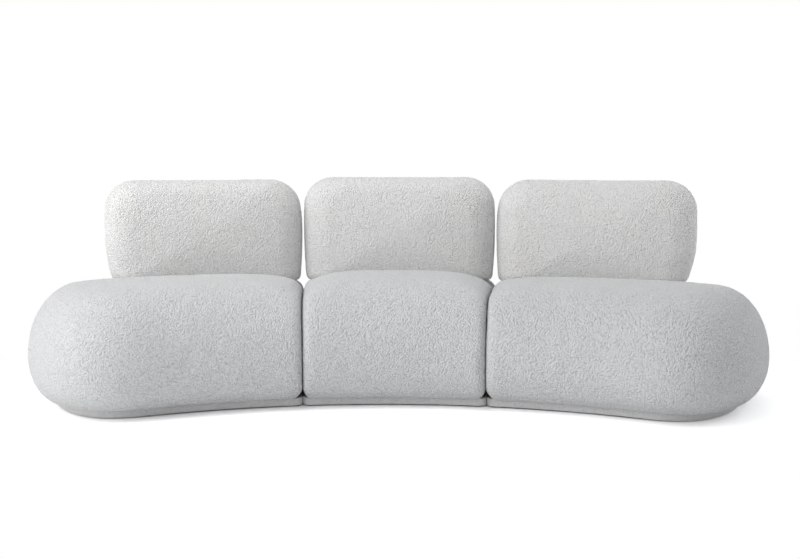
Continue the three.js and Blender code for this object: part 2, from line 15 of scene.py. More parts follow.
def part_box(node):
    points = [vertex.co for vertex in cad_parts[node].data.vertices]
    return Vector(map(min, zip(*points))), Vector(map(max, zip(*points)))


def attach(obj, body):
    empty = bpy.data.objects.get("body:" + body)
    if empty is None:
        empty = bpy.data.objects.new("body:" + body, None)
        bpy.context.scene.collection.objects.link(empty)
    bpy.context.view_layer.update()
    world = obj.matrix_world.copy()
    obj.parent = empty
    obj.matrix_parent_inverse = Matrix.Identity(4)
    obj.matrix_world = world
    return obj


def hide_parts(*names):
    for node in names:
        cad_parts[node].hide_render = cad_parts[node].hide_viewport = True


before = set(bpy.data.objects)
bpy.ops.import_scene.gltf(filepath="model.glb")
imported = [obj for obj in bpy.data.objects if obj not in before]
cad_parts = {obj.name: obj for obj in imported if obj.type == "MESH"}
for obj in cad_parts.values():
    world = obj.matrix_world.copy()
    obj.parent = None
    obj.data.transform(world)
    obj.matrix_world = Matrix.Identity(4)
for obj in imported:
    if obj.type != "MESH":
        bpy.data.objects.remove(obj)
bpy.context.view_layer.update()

# Plan of the bench
BEND = 3.8
DEPTH = 0.976
CENTRE_HALF = 0.36
END_START = CENTRE_HALF + 0.602
END_ROUND = 0.42
END_SQUARENESS = 2.3
SWELL = 0.115
TUCK = 0.033
SEAM_GAP = 0.001
CORNER = 0.03
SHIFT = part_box("centre_seat_cover")[1][1] - DEPTH / 2
UNBEND_ROUNDS = 3

# Section of the seats
UNDERSIDE = 0.032
BULGE = 0.152
SEAT_TOP = 0.397
CROWN = 0.035
CROWN_SQUARENESS = 4.2
REAR_FALL = 0.038
FALL_LEAD = 0.235
TOP_ROUND = 0.185
REAR_ROUND = 0.095
LOW_ROUND = 0.081
SEAM_ROUND = 0.035
SEAM_ROUND_HEIGHT = 0.036
SQUARENESS = 2.16

# Back cushions
BACK_THICK = 0.25
BACK_FRONT = DEPTH / 2 - 0.053 - BACK_THICK
BACK_MIDDLE = BACK_FRONT + BACK_THICK / 2
BACK_TOP = 0.78
BACK_GAP = 0.006
END_BACK = 0.725
BACK_TOP_CORNER = 0.102
BACK_LOW_CORNER = 0.025
BACK_TOP_ROUND = 0.085
BACK_SIDE_ROUND = 0.13
BACK_LOW = 0.016
BACK_FACE = 0.024
FACE_TURN = 74
BACK_BOW = 0.01
BACK_SQUARENESS = 2.3
BACK_REST = 0.001

# Plinth and its band: rounding of the folds, size of a facet, swell, and the yarn's share of its relief
PLINTH_INSET = 0.098
BAND = 0.006
PLINTH_LOW = 0.0044
PLINTH_HIGH = 0.0316
OUTER_FOLD = 0.0022
INNER_FOLD = 0.0014
BAND_FACET = 0.0028
BAND_SWELL = 0.0012
BAND_OUTER_RELIEF = 0.45
BAND_INNER_RELIEF = 0.05
BAND_SEAM_RELIEF = 0.15

# Posts and hooks, and the room cut for them
POST_RADIUS = 0.011
POST_PLAY = 0.0016
POST_MARGIN = 0.15
SEAT_BORE = (0.2304, 0.6)
BACK_BORE = (0.3, 0.6204)
HOOK_PLACE = DEPTH / 2 - 0.188
NOTCH_HALF = 0.0286
NOTCH_LOW = -0.005
CENTRE_NOTCH = (-0.0306, 0.003, 0.0119)
END_NOTCH = (-0.003, 0.0159, 0.0316)

SIDES = {"left": -1, "centre": 0, "right": 1}

# Hand-filled differences: each seat's crest, each back's top and outer end over the plain form, how far
# the end backs' inner edges lean out from a share of their height up, how far their outer corners are
# tucked in below a share of it, and how far the end seats reach
SEAT_CREST = {-1: 0.001, 0: 0.008, 1: -0.007}
BACK_RAISE = {-1: 0.0, 0: 0.010, 1: 0.0}
BACK_REACH = {-1: 0.0, 0: 0.0, 1: 0.008}
BACK_LEAN = 0.01
LEAN_FROM = 0.4
BACK_TUCK = {-1: 0.012, 1: 0.022}
TUCK_BELOW = 0.34
TUCK_POWER = 1.3
END_REACH = {-1: 0.0, 1: 0.005}

# Facets of the forms: steps of a unit's plan and of a back's elevation, rings, and shares of the crowns
PLAN_CORNER, PLAN_FRONT, PLAN_SEAM, PLAN_END = 10, 60, 80, 120
BACK_FOOT_STEPS, BACK_TOP_STEPS, BACK_RUNS = 12, 20, (60, 24, 60, 24)
SEAT_RINGS, BACK_RINGS = 73, 41
SEAT_SHARES = np.linspace(0.96, 0.04, 24)
BACK_SHARES = np.linspace(0.95, 0.05, 18)
BORE_SIDES = 32
FOLD_STEPS = 3
BAND_FINE = 3.0

# Even facets: voxels, rounds of smoothing back onto the form, and levels of subdivision
SEAT_VOXEL = {-1: 0.0244, 0: 0.0215, 1: 0.0244}
BACK_VOXEL = 0.0143
EVEN_ROUNDS, RELAX_ROUNDS = 3, 2
FINER_LEVELS = 2

# Cloth pass: settings, frames, the farthest that a point may move, and how near to a cushion's foot,
# sides and seam its points are held still
CLOTH = {
    "quality": 5,
    "mass": 0.4,
    "tension_stiffness": 30,
    "compression_stiffness": 30,
    "shear_stiffness": 12,
    "bending_stiffness": 2,
    "use_pressure": True,
    "uniform_pressure_force": 4,
}
CLOTH_FRAMES = 20
CLOTH_REACH = 0.0022
SEAT_HELD_BELOW = 0.05
BACK_HELD_BELOW = 0.03
BACK_HELD_BESIDE = 0.004
SEAM_SIDE = 0.012

# Bouclé in relief: sizes and heights of curls, clumps and lumps
CURL_SIZE, CURL_MEAN, CURL_HEIGHT = 0.0088, 0.62, 0.0015
CLUMP_SIZE, CLUMP_HEIGHT = 0.021, 0.0005
LUMP_SIZE, LUMP_HEIGHT = 0.09, 0.0005
WIDE_LUMP_SIZE, WIDE_LUMP_SHARE = 0.17, 0.8
SEAT_SALT, BACK_SALT, BAND_SALT = 11, 41, 71

# Primes that turn a cell and a salt into steady random numbers
CELL_PRIMES = (73856093, 19349663, 83492791, 2654435761)
STIR = ((15, 2246822519), (13, 3266489917))

# Bouclé in the material: curls and their depth, the warp of their outlines, and the threads' share
CURL_SCALE, CURL_DEPTH = 165, 0.006
WARP_SCALE, WARP_SHIFT = 160, 0.0035
THREAD_SHARE = 0.12
WHITE = (1.0, 1.0, 1.0)

# Sewn lines round a back's rear edge, round a seat's foot and up the rear of both, each with how deep
# and how wide it is pressed in, where they run, and where the relief fades towards a seat's underside
BACK_RIM_SEAM = (0.0022, 0.0045)
BACK_RIM = BACK_MIDDLE + BACK_THICK / 2 - 0.036
UPRIGHT_SEAM = (0.0016, 0.004)
BACK_UPRIGHT_FROM = 0.5
SEAT_FOOT_SEAM = (0.002, 0.005)
SEAT_FOOT_LINE = 0.05
SEAT_FOOT_REACH = 0.08
SEAT_REAR_FROM = DEPTH / 2 - 0.12
SEAT_REAR_HEIGHTS = (0.05, 0.39)
UNDERSIDE_FADE = 0.012
UNDERSIDE_RELIEF = 0.15


def bench(s, t, z):
    """The bent place of a place on the straight bench."""
    growth = (s / END_START) ** 2
    front = np.maximum(0.5 - t / DEPTH, 0)
    rear = np.maximum(0.5 + t / DEPTH, 0)
    reach = BEND + t - growth * (SWELL * front + TUCK * rear)
    angle = s / BEND
    z = np.broadcast_to(z, np.shape(s))
    return np.stack([reach * np.sin(angle), reach * np.cos(angle) - BEND + SHIFT, z], axis=-1)


def unbend(points):
    """s and t of places in the bent plan, near enough to lay seams and patterns by."""
    x, y = points[:, 0], points[:, 1] + BEND - SHIFT
    s = np.arctan2(x, y) * BEND
    reach = np.hypot(x, y)
    t = reach - BEND
    for _ in range(UNBEND_ROUNDS):
        growth = (s / END_START) ** 2
        t = reach - BEND + growth * (
            SWELL * np.maximum(0.5 - t / DEPTH, 0) + TUCK * np.maximum(0.5 + t / DEPTH, 0)
        )
    return s, t


def power(value, squareness):
    return np.sign(value) * np.abs(value) ** (2 / squareness)


def arc(centre, radius, quarter, steps):
    turns = (quarter + np.linspace(0, 1, steps + 1)) * math.pi / 2
    return np.stack([centre[0] + radius * np.cos(turns), centre[1] + radius * np.sin(turns)], axis=-1)


def run(start, end, steps):
    share = np.arange(1, steps)[:, None] / steps
    return start + (end - start) * share


def closed(pieces, steps):
    """Corners joined by straight runs into one outline."""
    out = []
    for i, piece in enumerate(pieces):
        out += [piece, run(piece[-1], pieces[(i + 1) % len(pieces)][0], steps[i])]
    return np.concatenate(out)


def unit_outline(side, front, rear, end, seam, fine=1.0):
    """Outline of a unit on the straight bench, anticlockwise, drawn in from its edges."""
    low, high = front - DEPTH / 2, DEPTH / 2 - rear
    corner, straight, across_seam, round_end = (
        max(2, round(count * fine)) for count in (PLAN_CORNER, PLAN_FRONT, PLAN_SEAM, PLAN_END)
    )
    if side == 0:
        s = CENTRE_HALF - seam
        corners = [
            arc((-s + CORNER, low + CORNER), CORNER, 2, corner),
            arc((s - CORNER, low + CORNER), CORNER, 3, corner),
            arc((s - CORNER, high - CORNER), CORNER, 0, corner),
            arc((-s + CORNER, high - CORNER), CORNER, 1, corner),
        ]
        return closed(corners, [straight, across_seam, straight, across_seam])
    s = CENTRE_HALF + seam
    turns = np.linspace(-0.5, 0.5, round_end + 1) * math.pi
    along = (END_ROUND + END_REACH[side] - end) * power(np.maximum(np.cos(turns), 0), END_SQUARENESS)
    across = power(np.sin(turns), END_SQUARENESS)
    rounded = np.stack([END_START + along, np.where(across < 0, -across * low, across * high)], axis=-1)
    outline = closed(
        [
            arc((s + CORNER, low + CORNER), CORNER, 2, corner),
            rounded,
            arc((s + CORNER, high - CORNER), CORNER, 1, corner),
        ],
        [straight, straight, across_seam],
    )
    return outline if side > 0 else (outline * [-1, 1])[::-1]


def seat_level(degrees):
    """Drawn-in distances, height and rise of the seat's skin at a turn from underside to crest."""
    turn = math.radians(degrees)
    drawn = 1 - power(max(math.cos(turn), 0), SQUARENESS)
    rise = abs(power(math.sin(turn), SQUARENESS))
    below = degrees < 0
    far = LOW_ROUND if below else TOP_ROUND
    rear = LOW_ROUND if below else REAR_ROUND
    reach = UNDERSIDE - BULGE if below else SEAT_TOP - BULGE
    curled = max(1 - abs(reach) * (1 - rise) / SEAM_ROUND_HEIGHT, 0)
    seam = SEAM_GAP + SEAM_ROUND * (1 - math.sqrt(1 - curled**2))
    return drawn * far, drawn * rear, drawn * far, seam, BULGE + rise * reach, rise


def seat_middle(side):
    *drawn, _, _ = seat_level(90)
    return unit_outline(side, *drawn, fine=0.5).mean(axis=0)


def share_out(side, s, t):
    """How far out places lie from the middle of their seat, 0, to its widest outline, 1."""
    middle = seat_middle(side)
    *drawn, _, _ = seat_level(0)
    edge = unit_outline(side, *drawn, fine=0.5) - middle
    along = np.roll(edge, -1, axis=0) - edge
    out_s, out_t = (s - middle[0])[:, None], np.broadcast_to(t - middle[1], np.shape(s))[:, None]
    whole = edge[:, 0] * along[:, 1] - edge[:, 1] * along[:, 0]
    shares = (out_s * along[:, 1] - out_t * along[:, 0]) / whole
    return shares.max(axis=1)


def stack(rings, first, last):
    """Corners and faces of a closed form through rings of points, with a fan at each end."""
    count = len(rings[0])
    points = np.concatenate([*rings, [first], [last]])
    i = np.arange(count)
    following = (i + 1) % count
    quads = [
        np.stack([low + i, low + following, low + count + following, low + count + i], axis=-1)
        for low in range(0, (len(rings) - 1) * count, count)
    ]
    top = (len(rings) - 1) * count
    ends = [
        np.stack([np.full(count, len(points) - 2), following, i], axis=-1),
        np.stack([np.full(count, len(points) - 1), top + i, top + following], axis=-1),
    ]
    return points, [face.tolist() for group in (*quads, *ends) for face in group]


def seat_rise(side, s, t, rise=1.0):
    """How far the top stands over its edge: a crown, less the fall towards the back cushion."""
    height = CROWN + SEAT_CREST[side]
    crown = height * (1 - np.minimum(share_out(side, s, t), 1) ** CROWN_SQUARENESS)
    fallen = np.clip(1 + (t - BACK_FRONT) / FALL_LEAD, 0, 1)
    return crown - REAR_FALL * rise * fallen**2


def seat_form(side):
    """The seat's pillow form with many facets."""
    rings = []
    for degrees in np.linspace(-90, 90, SEAT_RINGS):
        *drawn, z, rise = seat_level(degrees)
        s, t = unit_outline(side, *drawn).T
        rings.append(bench(s, t, z + (seat_rise(side, s, t, rise) if degrees > 0 else 0.0)))
    *drawn, z, _ = seat_level(90)
    outline = unit_outline(side, *drawn)
    middle = seat_middle(side)
    for share in SEAT_SHARES:
        s, t = (middle + (outline - middle) * share).T
        rings.append(bench(s, t, z + seat_rise(side, s, t)))
    low, high = bench(*middle, UNDERSIDE), bench(*middle, z + seat_rise(side, *middle[:, None])[0])
    return stack(rings, low, high)


def seat_height(side, s, t):
    """Height of the seat's skin under the back cushions, its edges at the seams left square."""
    share = 1 - np.clip((DEPTH / 2 - t) / REAR_ROUND, 0, 1)
    rise = (1 - share**SQUARENESS) ** (1 / SQUARENESS)
    return BULGE + (SEAT_TOP - BULGE) * rise + seat_rise(side, s, t, rise)


def back_span(side):
    if side == 0:
        return -CENTRE_HALF + BACK_GAP / 2, CENTRE_HALF - BACK_GAP / 2
    inner, outer = CENTRE_HALF + BACK_GAP / 2, CENTRE_HALF + END_BACK + BACK_REACH[side]
    return (inner, outer) if side > 0 else (-outer, -inner)


def post_places(side):
    start, end = back_span(side)
    reach = BACK_REACH[side] * side
    return start + POST_MARGIN, end - reach - POST_MARGIN


def back_ring(side, t, drawn, share=1.0):
    """One ring of the back cushion: its front elevation at a depth, drawn in at sides, top and foot."""
    start, end = back_span(side)
    middle, half = (start + end) / 2, (end - start) / 2 - drawn * BACK_SIDE_ROUND
    high = BACK_TOP + BACK_RAISE[side] - drawn * BACK_TOP_ROUND
    low = SEAT_TOP + drawn * BACK_LOW
    top, foot = BACK_TOP_CORNER, BACK_LOW_CORNER
    outline = closed(
        [
            arc((-half + foot, low + foot), foot, 2, BACK_FOOT_STEPS),
            arc((half - foot, low + foot), foot, 3, BACK_FOOT_STEPS),
            arc((half - top, high - top), top, 0, BACK_TOP_STEPS),
            arc((-half + top, high - top), top, 1, BACK_TOP_STEPS),
        ],
        BACK_RUNS,
    )
    s, z = outline.T
    up = (z - low) / (high - low)
    bowed = s * (1 - (BACK_BOW / half) * (1 - 2 * up) ** 2)
    if side:
        high_up = np.clip((up - LEAN_FROM) / (1 - LEAN_FROM), 0, 1)
        low_down = np.clip((TUCK_BELOW - up) / TUCK_BELOW, 0, 1)
        lean = high_up**2 * np.clip(-side * s / half, 0, 1) ** 2
        tuck = low_down**TUCK_POWER * np.clip(side * s / half, 0, 1) ** 2
        bowed = bowed + side * (BACK_LEAN * lean - BACK_TUCK[side] * tuck)
    along = middle + bowed * share
    rest = seat_height(side, along, t) + BACK_REST - SEAT_TOP
    centre = (low + high) / 2
    return bench(along, t, centre + (z - centre) * share + rest * (1 - up) ** 2)[::-1]


def back_rounding(degrees):
    """Depth from the back's middle and the share drawn in, at a turn round its edge."""
    turn = math.radians(degrees)
    deep = (BACK_THICK / 2 - BACK_FACE) * power(math.sin(turn), BACK_SQUARENESS)
    return deep, 1 - power(math.cos(turn), BACK_SQUARENESS)


def back_form(side):
    """The back cushion's pillow form with many facets, rounded at its edge and crowned on its faces."""
    rings = []
    for degrees in np.linspace(-FACE_TURN, FACE_TURN, BACK_RINGS):
        deep, drawn = back_rounding(degrees)
        rings.append(back_ring(side, BACK_MIDDLE + deep, drawn))
    deep, drawn = back_rounding(FACE_TURN)

    def face(way, share):
        return BACK_MIDDLE + way * (deep + (BACK_THICK / 2 - deep) * math.cos(math.pi / 2 * share))

    def crowned(way):
        return [back_ring(side, face(way, share), drawn, share) for share in BACK_SHARES]

    start, end = back_span(side)
    heart = [bench((start + end) / 2, face(way, 0), (SEAT_TOP + BACK_TOP) / 2) for way in (-1, 1)]
    return stack([*crowned(-1)[::-1], *rings, *crowned(1)], *heart)


def add_mesh(name, points, faces):
    mesh = bpy.data.meshes.new(name)
    mesh.from_pydata([tuple(p) for p in points], [], faces)
    mesh.update()
    piece = bpy.data.objects.new(name, mesh)
    bpy.context.scene.collection.objects.link(piece)
    return piece


def settle(piece):
    """Puts the result of the piece's modifiers in its own mesh."""
    graph = bpy.context.evaluated_depsgraph_get()
    made = bpy.data.meshes.new_from_object(piece.evaluated_get(graph))
    piece.modifiers.clear()
    old = piece.data
    piece.data = made
    bpy.data.meshes.remove(old)
    return piece


def get_points(mesh):
    flat = np.empty(len(mesh.vertices) * 3, dtype=np.float32)
    mesh.vertices.foreach_get("co", flat)
    return flat.reshape(-1, 3).astype(np.float64)


def set_points(mesh, points):
    mesh.vertices.foreach_set("co", points.astype(np.float32).ravel())
    mesh.update()


def get_normals(mesh):
    flat = np.empty(len(mesh.vertices) * 3, dtype=np.float32)
    mesh.vertices.foreach_get("normal", flat)
    return flat.reshape(-1, 3).astype(np.float64)


def get_edges(mesh):
    flat = np.empty(len(mesh.edges) * 2, dtype=np.int32)
    mesh.edges.foreach_get("vertices", flat)
    return flat.reshape(-1, 2)


def relax(points, edges, rounds):
    """Moves each point towards the mean of its neighbours."""
    counts = np.bincount(edges.ravel(), minlength=len(points))[:, None]
    for _ in range(rounds):
        total = np.zeros_like(points)
        np.add.at(total, edges[:, 0], points[edges[:, 1]])
        np.add.at(total, edges[:, 1], points[edges[:, 0]])
        points = points * 0.5 + total / counts * 0.5
    return points


def snap(points, tree):
    return np.array([tree.find_nearest(Vector(p))[0] for p in points])


def swell(piece, held):
    """Blows a cushion up a little as cloth, its held points still, and keeps each move short."""
    rest = get_points(piece.data)
    group = piece.vertex_groups.new(name="held")
    group.add([int(i) for i in np.flatnonzero(held)], 1.0, "REPLACE")
    cloth = piece.modifiers.new("cloth", "CLOTH")
    for setting, value in CLOTH.items():
        setattr(cloth.settings, setting, value)
    cloth.settings.vertex_group_mass = "held"
    cloth.settings.effector_weights.gravity = 0
    cloth.collision_settings.use_collision = False
    cloth.point_cache.frame_start, cloth.point_cache.frame_end = 1, CLOTH_FRAMES
    scene = bpy.context.scene
    for number in range(1, CLOTH_FRAMES + 1):
        scene.frame_set(number)
    graph = bpy.context.evaluated_depsgraph_get()
    seen = piece.evaluated_get(graph)
    blown = get_points(seen.data)
    piece.modifiers.clear()
    piece.vertex_groups.clear()
    scene.frame_set(1)
    move = blown - rest
    size = np.linalg.norm(move, axis=1, keepdims=True)
    move *= CLOTH_REACH * np.tanh(size / CLOTH_REACH) / np.maximum(size, 1e-9)
    set_points(piece.data, rest + move)


def scatter(cells, salt):
    """Three steady random numbers from 0 to 1 for each whole-numbered cell."""
    x, y, z = np.moveaxis(cells.astype(np.int64), -1, 0)
    by_x, by_y, by_z, by_salt = CELL_PRIMES
    bits = x * by_x ^ y * by_y ^ z * by_z ^ salt * by_salt
    out = []
    for _ in range(3):
        for shift, prime in STIR:
            bits = (bits ^ (bits >> shift)) * prime & 0xFFFFFFFF
        out.append(((bits ^ (bits >> 16)) & 0xFFFFFF) / 0xFFFFFF)
    return np.stack(out, axis=-1)


def nubs(points, size, salt):
    """Distance to the nearest of points strewn one in each cell, in cells."""
    place = points / size
    base = np.floor(place)
    nearest = np.full(len(points), np.inf)
    for dx in (-1, 0, 1):
        for dy in (-1, 0, 1):
            for dz in (-1, 0, 1):
                cell = base + (dx, dy, dz)
                spot = cell + scatter(cell, salt)
                nearest = np.minimum(nearest, ((place - spot) ** 2).sum(axis=1))
    return np.sqrt(nearest)


def drift(points, size, salt):
    """Smooth noise from -1 to 1 with a given wavelength."""
    place = points / size
    base = np.floor(place)
    part = place - base
    part = part * part * (3 - 2 * part)
    total = 0
    for dx in (0, 1):
        for dy in (0, 1):
            for dz in (0, 1):
                weight = np.prod(np.where([dx, dy, dz], part, 1 - part), axis=1)
                total = total + weight * scatter(base + (dx, dy, dz), salt)[:, 0]
    return total * 2 - 1


def boucle_relief(points, salt):
    """Height of the yarn's curls and of the hand-filled unevenness under them."""
    curls = CURL_MEAN - nubs(points, CURL_SIZE, salt)
    clumps = drift(points, CLUMP_SIZE, salt + 1)
    lumps = drift(points, LUMP_SIZE, salt + 2) + WIDE_LUMP_SHARE * drift(points, WIDE_LUMP_SIZE, salt + 3)
    return CURL_HEIGHT * curls + CLUMP_HEIGHT * clumps + LUMP_HEIGHT * lumps


def bored(piece, tools):
    """Cuts tools out of a closed piece."""
    for tool in tools:
        made = piece.modifiers.new("bore", "BOOLEAN")
        made.operation, made.solver, made.object = "DIFFERENCE", "MANIFOLD", tool
    settle(piece)
    for tool in tools:
        mesh = tool.data
        bpy.data.objects.remove(tool)
        bpy.data.meshes.remove(mesh)


def post_tool(side, s, low, high):
    centre = bench(np.array([s]), np.array([BACK_MIDDLE]), 0.0)[0]
    turns = np.linspace(0, 2 * math.pi, BORE_SIDES + 1)[:-1]
    radius = POST_RADIUS + POST_PLAY
    x, y = centre[0] + radius * np.cos(turns), centre[1] + radius * np.sin(turns)
    rings = [np.stack([x, y, np.full(BORE_SIDES, z)], axis=-1) for z in (low, high)]
    return add_mesh("bore_tool", *stack(rings, (*centre[:2], low), (*centre[:2], high)))


def smooth_shade(piece):
    piece.data.polygons.foreach_set("use_smooth", [True] * len(piece.data.polygons))


def beside_seam(points):
    s, _ = unbend(points)
    return np.abs(np.abs(s) - CENTRE_HALF) < SEAM_SIDE


def groove(distance, seam):
    """How far a sewn line presses the cover in, at a distance from it."""
    deep, width = seam
    return deep * np.exp(-((distance / width) ** 2))


def cushion(name, side, form, voxel, held, salt):
    """A bouclé cushion: even facets over its form, blown up as cloth, then sewn lines, yarn and bores."""
    points, faces = form
    exact = add_mesh(name + "_form", points, faces)
    tree = BVHTree.FromObject(exact, bpy.context.evaluated_depsgraph_get())
    exact.name = name
    even = exact.modifiers.new("even", "REMESH")
    even.mode, even.voxel_size = "VOXEL", voxel
    piece = settle(exact)
    edges = get_edges(piece.data)
    points = get_points(piece.data)
    for _ in range(EVEN_ROUNDS):
        points = snap(relax(points, edges, RELAX_ROUNDS), tree)
    set_points(piece.data, points)
    swell(piece, held(points))
    finer = piece.modifiers.new("finer", "SUBSURF")
    finer.levels = finer.render_levels = FINER_LEVELS
    settle(piece)
    points, normals = get_points(piece.data), get_normals(piece.data)
    height = boucle_relief(points, salt)
    s, t = unbend(points)
    z = points[:, 2]
    if "back" in name:
        start, end = back_span(side)
        height -= groove(t - BACK_RIM, BACK_RIM_SEAM)
        height -= groove(s - (start + end) / 2, UPRIGHT_SEAM) * (t > BACK_RIM) * (z > BACK_UPRIGHT_FROM)
        bore = BACK_BORE
    else:
        height -= groove(z - SEAT_FOOT_LINE, SEAT_FOOT_SEAM) * (z < SEAT_FOOT_REACH)
        low, high = SEAT_REAR_HEIGHTS
        behind = (t > SEAT_REAR_FROM) & (z > low) & (z < high)
        for place in (END_START, -END_START) if side else (0.0,):
            height -= groove(s - place, UPRIGHT_SEAM) * behind
        height *= np.clip((z - UNDERSIDE) / UNDERSIDE_FADE, UNDERSIDE_RELIEF, 1)
        bore = SEAT_BORE
    set_points(piece.data, points + normals * height[:, None])
    bored(piece, [post_tool(side, place, *bore) for place in post_places(side)])
    smooth_shade(piece)
    return piece


def band(name, side, salt):
    """The bouclé band round a plinth, folded over at its top and foot."""
    section = []
    for radius, quarter, deep, high in (
        (OUTER_FOLD, 3, 0.0, PLINTH_LOW),
        (OUTER_FOLD, 0, 0.0, PLINTH_HIGH),
        (INNER_FOLD, 1, BAND, PLINTH_HIGH),
        (INNER_FOLD, 2, BAND, PLINTH_LOW),
    ):
        turns = (quarter + np.linspace(0, 1, FOLD_STEPS + 1)) * math.pi / 2
        inward = deep + radius if deep == 0 else deep - radius
        middle = high + radius if high == PLINTH_LOW else high - radius
        section += [(inward - radius * math.cos(turn), middle + radius * math.sin(turn)) for turn in turns]
    full = []
    for i, (deep, high) in enumerate(section):
        deeper, higher = section[(i + 1) % len(section)]
        steps = max(1, round(math.dist((deep, high), (deeper, higher)) / BAND_FACET))
        for k in range(steps):
            full.append((deep + (deeper - deep) * k / steps, high + (higher - high) * k / steps))
    rings = []
    for deep, high in full:
        free = PLINTH_INSET + deep
        s, t = unit_outline(side, free, free, free, SEAM_GAP + deep, BAND_FINE).T
        rings.append(bench(s, t, high))
    count, around = len(rings[0]), len(rings)
    points = np.concatenate(rings)
    faces = []
    for k in range(around):
        for i in range(count):
            j, m = (i + 1) % count, (k + 1) % around
            faces.append((k * count + i, k * count + j, m * count + j, m * count + i))
    piece = add_mesh(name, points, faces)
    deep = np.repeat([d for d, _ in full], count)
    high = np.repeat([h for _, h in full], count)
    up = (high - PLINTH_LOW) / (PLINTH_HIGH - PLINTH_LOW)
    bulge = BAND_SWELL * np.sin(math.pi * up) * (deep < BAND / 6)
    share = np.where(deep < BAND / 2, BAND_OUTER_RELIEF, BAND_INNER_RELIEF)
    height = boucle_relief(points, salt) * share + bulge
    height[beside_seam(points)] *= BAND_SEAM_RELIEF
    set_points(piece.data, points + get_normals(piece.data) * height[:, None])
    ways = (side,) if side else (-1, 1)
    bored(piece, [notch(side, way, place) for way in ways for place in (-HOOK_PLACE, HOOK_PLACE)])
    smooth_shade(piece)
    return piece


def notch(side, way, t):
    """Room for a hook in the centre's band, or for a hook in its catch in an end's band."""
    near, far, high = END_NOTCH if side else CENTRE_NOTCH
    first, last = sorted((CENTRE_HALF + reach) * way for reach in (near, far))
    s = np.array([first, last, last, first])
    low_t, high_t = t - NOTCH_HALF, t + NOTCH_HALF
    rings = [bench(s, np.array([low_t, low_t, high_t, high_t]), z) for z in (NOTCH_LOW, high)]
    return add_mesh("notch_tool", *stack(rings, rings[0].mean(axis=0), rings[1].mean(axis=0)))


class Nodes:
    """A material's node tree, and short ways to add to it."""

    def __init__(self, name):
        self.material = bpy.data.materials.new(name)
        self.material.use_nodes = True
        self.tree = self.material.node_tree
        self.shader = self.tree.nodes["Principled BSDF"]
        self.place = self.add("ShaderNodeTexCoord").outputs["Object"]

    def add(self, kind, **settings):
        node = self.tree.nodes.new(kind)
        for key, value in settings.items():
            setattr(node, key, value)
        return node

    def join(self, source, target):
        self.tree.links.new(source, target)

    def math(self, operation, first, second):
        node = self.add("ShaderNodeMath", operation=operation)
        self.join(first, node.inputs[0])
        if isinstance(second, float):
            node.inputs[1].default_value = second
        else:
            self.join(second, node.inputs[1])
        return node.outputs[0]

    def product(self, first, second):
        """Two colours multiplied."""
        node = self.add("ShaderNodeMix", data_type="RGBA", blend_type="MULTIPLY")
        node.inputs[0].default_value = 1.0
        self.join(first, node.inputs[6])
        self.join(second, node.inputs[7])
        return node.outputs[2]

    def noise(self, scale, detail, distortion=0.0, vector=None, rough=0.5):
        node = self.add("ShaderNodeTexNoise")
        node.inputs["Scale"].default_value = scale
        node.inputs["Detail"].default_value = detail
        node.inputs["Roughness"].default_value = rough
        node.inputs["Distortion"].default_value = distortion
        self.join(vector or self.place, node.inputs["Vector"])
        return node.outputs["Fac"]

    def cells(self, scale, smooth, vector=None):
        node = self.add("ShaderNodeTexVoronoi", feature="SMOOTH_F1")
        node.inputs["Scale"].default_value = scale
        node.inputs["Smoothness"].default_value = smooth
        self.join(vector or self.place, node.inputs["Vector"])
        return node.outputs["Distance"]

    def stretch(self, scale):
        node = self.add("ShaderNodeMapping")
        node.inputs["Scale"].default_value = scale
        self.join(self.place, node.inputs["Vector"])
        return node.outputs[0]

    def ramp(self, value, *stops):
        node = self.add("ShaderNodeValToRGB")
        elements = node.color_ramp.elements
        while len(elements) < len(stops):
            elements.new(0.5)
        for element, (at, colour) in zip(elements, stops):
            element.position = at
            element.color = (*colour, 1.0)
        self.join(value, node.inputs[0])
        return node.outputs[0]

    def bump(self, height, strength, distance):
        node = self.add("ShaderNodeBump")
        node.inputs["Strength"].default_value = strength
        node.inputs["Distance"].default_value = distance
        self.join(height, node.inputs["Height"])
        self.join(node.outputs[0], self.shader.inputs["Normal"])

    def colour(self, value):
        self.join(value, self.shader.inputs["Base Color"])

    def roughness(self, value, low, high):
        node = self.add("ShaderNodeMapRange")
        node.inputs["To Min"].default_value = low
        node.inputs["To Max"].default_value = high
        self.join(value, node.inputs["Value"])
        self.join(node.outputs[0], self.shader.inputs["Roughness"])

    def fixed(self, **values):
        for key, value in values.items():
            self.shader.inputs[key.replace("_", " ")].default_value = value


def boucle_material(name, light, dark, warm, share=1.0):
    """Looped yarn: warped curls in relief, painted shade between them, faint warm and cool patches."""
    m = Nodes(name)
    warp = m.add("ShaderNodeTexNoise")
    warp.inputs["Scale"].default_value = WARP_SCALE
    warp.inputs["Detail"].default_value = 2
    m.join(m.place, warp.inputs["Vector"])
    shift = m.add("ShaderNodeVectorMath", operation="SCALE")
    shift.inputs["Scale"].default_value = WARP_SHIFT
    m.join(warp.outputs["Color"], shift.inputs[0])
    moved = m.add("ShaderNodeVectorMath", operation="ADD")
    m.join(m.place, moved.inputs[0])
    m.join(shift.outputs[0], moved.inputs[1])
    curls = m.cells(CURL_SCALE, smooth=0.35, vector=moved.outputs[0])
    threads = m.noise(300, detail=3, distortion=1.2)
    wide = m.noise(7, detail=2)
    height = m.math("ADD", m.math("MULTIPLY", curls, -1.0), m.math("MULTIPLY", threads, THREAD_SHARE))
    m.bump(height, strength=1.0, distance=CURL_DEPTH * share)
    # painted shade: the colour darkens from the curls' tops into the cracks between them
    painted_gap_shade = m.ramp(curls, (0.42, light), (0.85, dark))
    patch = m.ramp(wide, (0.35, WHITE), (0.7, warm))
    m.colour(m.product(painted_gap_shade, patch))
    m.roughness(threads, low=0.88, high=1.0)
    m.fixed(Sheen_Weight=0.5, Sheen_Roughness=0.5, Specular_IOR_Level=0.15)
    return m.material


